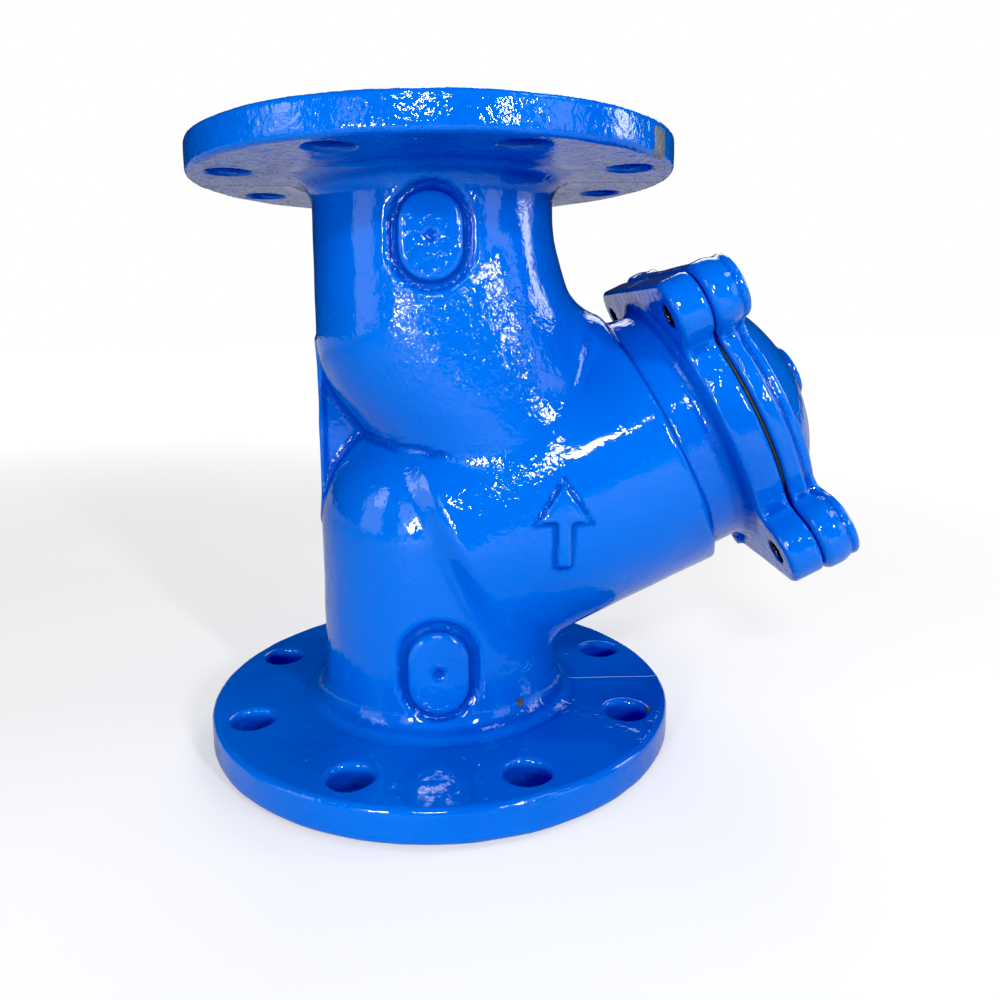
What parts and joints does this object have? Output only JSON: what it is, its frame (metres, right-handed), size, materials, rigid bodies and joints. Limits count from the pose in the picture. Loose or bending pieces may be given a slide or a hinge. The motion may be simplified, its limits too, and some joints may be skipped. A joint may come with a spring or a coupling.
{
  "type": "y strainer",
  "caption": "Flanged Y strainer in blue-painted ductile iron with a bolted cover on its leaning branch, holding a removable perforated screen that catches debris from the pipe.",
  "frame": {"origin": "centre of the inlet flange's raised face, on the pipe axis", "axes": "+Z along the pipe from inlet to outlet, +X to the side that the screen branch leans to, Y across; mirror plane y = 0"},
  "size_m": [0.282, 0.215, 0.27],
  "materials": {
    "blue_epoxy_body": "glossy blue epoxy paint over a bumpy sand casting",
    "blue_epoxy_cover": "glossy blue epoxy paint over a sand casting",
    "blue_epoxy_plug": "glossy blue epoxy paint over a turned steel plug",
    "nitrile": "matt black sheet rubber",
    "stainless_sheet": "rolled stainless sheet, 2B finish",
    "stainless_weave": "fine woven stainless wire cloth",
    "zinc_plate": "bright zinc plated steel",
    "copper_ring": "annealed copper ring"
  },
  "bodies": {
    "casting": {"body": "blue_epoxy_body"},
    "cover": {"cover": "blue_epoxy_cover"},
    "gasket": {"cover_gasket": "nitrile"},
    "screen": {"screen_tube": "stainless_sheet", "screen_lining": "stainless_weave", "screen_seat_band": "stainless_sheet", "screen_cover_band": "stainless_sheet", "screen_seam_strip": "stainless_sheet"},
    "washer_1": {"spring_washer_1": "zinc_plate"},
    "screw_1": {"cover_screw_1": "zinc_plate"},
    "washer_2": {"spring_washer_2": "zinc_plate"},
    "screw_2": {"cover_screw_2": "zinc_plate"},
    "washer_3": {"spring_washer_3": "zinc_plate"},
    "screw_3": {"cover_screw_3": "zinc_plate"},
    "washer_4": {"spring_washer_4": "zinc_plate"},
    "screw_4": {"cover_screw_4": "zinc_plate"},
    "seal": {"plug_seal": "copper_ring"},
    "plug": {"drain_plug": "blue_epoxy_plug"}
  },
  "joints": [
    {"name": "cover_slide", "type": "slide", "parent": "casting", "child": "cover", "axis": [0.9026, 0, 0.4305], "range_m": [0, 0.27]},
    {"name": "screen_slide", "type": "slide", "parent": "casting", "child": "screen", "axis": [0.9026, 0, 0.4305], "range_m": [0, 0.13501]},
    {"name": "gasket_slide", "type": "slide", "parent": "casting", "child": "gasket", "axis": [0.9026, 0, 0.4305], "range_m": [0, 0.22951]},
    {"name": "washer_1_lift", "type": "slide", "parent": "cover", "child": "washer_1", "axis": [0.9026, 0, 0.4305], "range_m": [0, 0.0122]},
    {"name": "screw_1_turn", "type": "hinge", "parent": "washer_1", "child": "screw_1", "pos_m": [0.11318, -0.0543, 0.201], "axis": [0.9026, 0, 0.4305], "range_deg": [0, 2880]},
    {"name": "washer_2_lift", "type": "slide", "parent": "cover", "child": "washer_2", "axis": [0.9026, 0, 0.4305], "range_m": [0, 0.0122]},
    {"name": "screw_2_turn", "type": "hinge", "parent": "washer_2", "child": "screw_2", "pos_m": [0.11318, 0.0543, 0.201], "axis": [0.9026, 0, 0.4305], "range_deg": [0, 2880]},
    {"name": "washer_3_lift", "type": "slide", "parent": "cover", "child": "washer_3", "axis": [0.9026, 0, 0.4305], "range_m": [0, 0.0122]},
    {"name": "screw_3_turn", "type": "hinge", "parent": "washer_3", "child": "screw_3", "pos_m": [0.15994, 0.0543, 0.10298], "axis": [0.9026, 0, 0.4305], "range_deg": [0, 2880]},
    {"name": "washer_4_lift", "type": "slide", "parent": "cover", "child": "washer_4", "axis": [0.9026, 0, 0.4305], "range_m": [0, 0.0122]},
    {"name": "screw_4_turn", "type": "hinge", "parent": "washer_4", "child": "screw_4", "pos_m": [0.15994, -0.0543, 0.10298], "axis": [0.9026, 0, 0.4305], "range_deg": [0, 2880]},
    {"name": "seal_lift", "type": "slide", "parent": "cover", "child": "seal", "axis": [0.9026, 0, 0.4305], "range_m": [0, 0.01452]},
    {"name": "plug_turn", "type": "hinge", "parent": "seal", "child": "plug", "pos_m": [0.16256, 0, 0.16439], "axis": [0.9026, 0, 0.4305], "range_deg": [0, 2880]}
  ],
  "couplings": [
    {"joint": "screen_slide", "follows": "cover_slide", "ratio": 0.5},
    {"joint": "gasket_slide", "follows": "cover_slide", "ratio": 0.85},
    {"joint": "washer_1_lift", "follows": "screw_1_turn", "m_per_rad": 0.00023873},
    {"joint": "washer_2_lift", "follows": "screw_2_turn", "m_per_rad": 0.00023873},
    {"joint": "washer_3_lift", "follows": "screw_3_turn", "m_per_rad": 0.00023873},
    {"joint": "washer_4_lift", "follows": "screw_4_turn", "m_per_rad": 0.00023873},
    {"joint": "seal_lift", "follows": "plug_turn", "m_per_rad": 0.00028871}
  ]
}
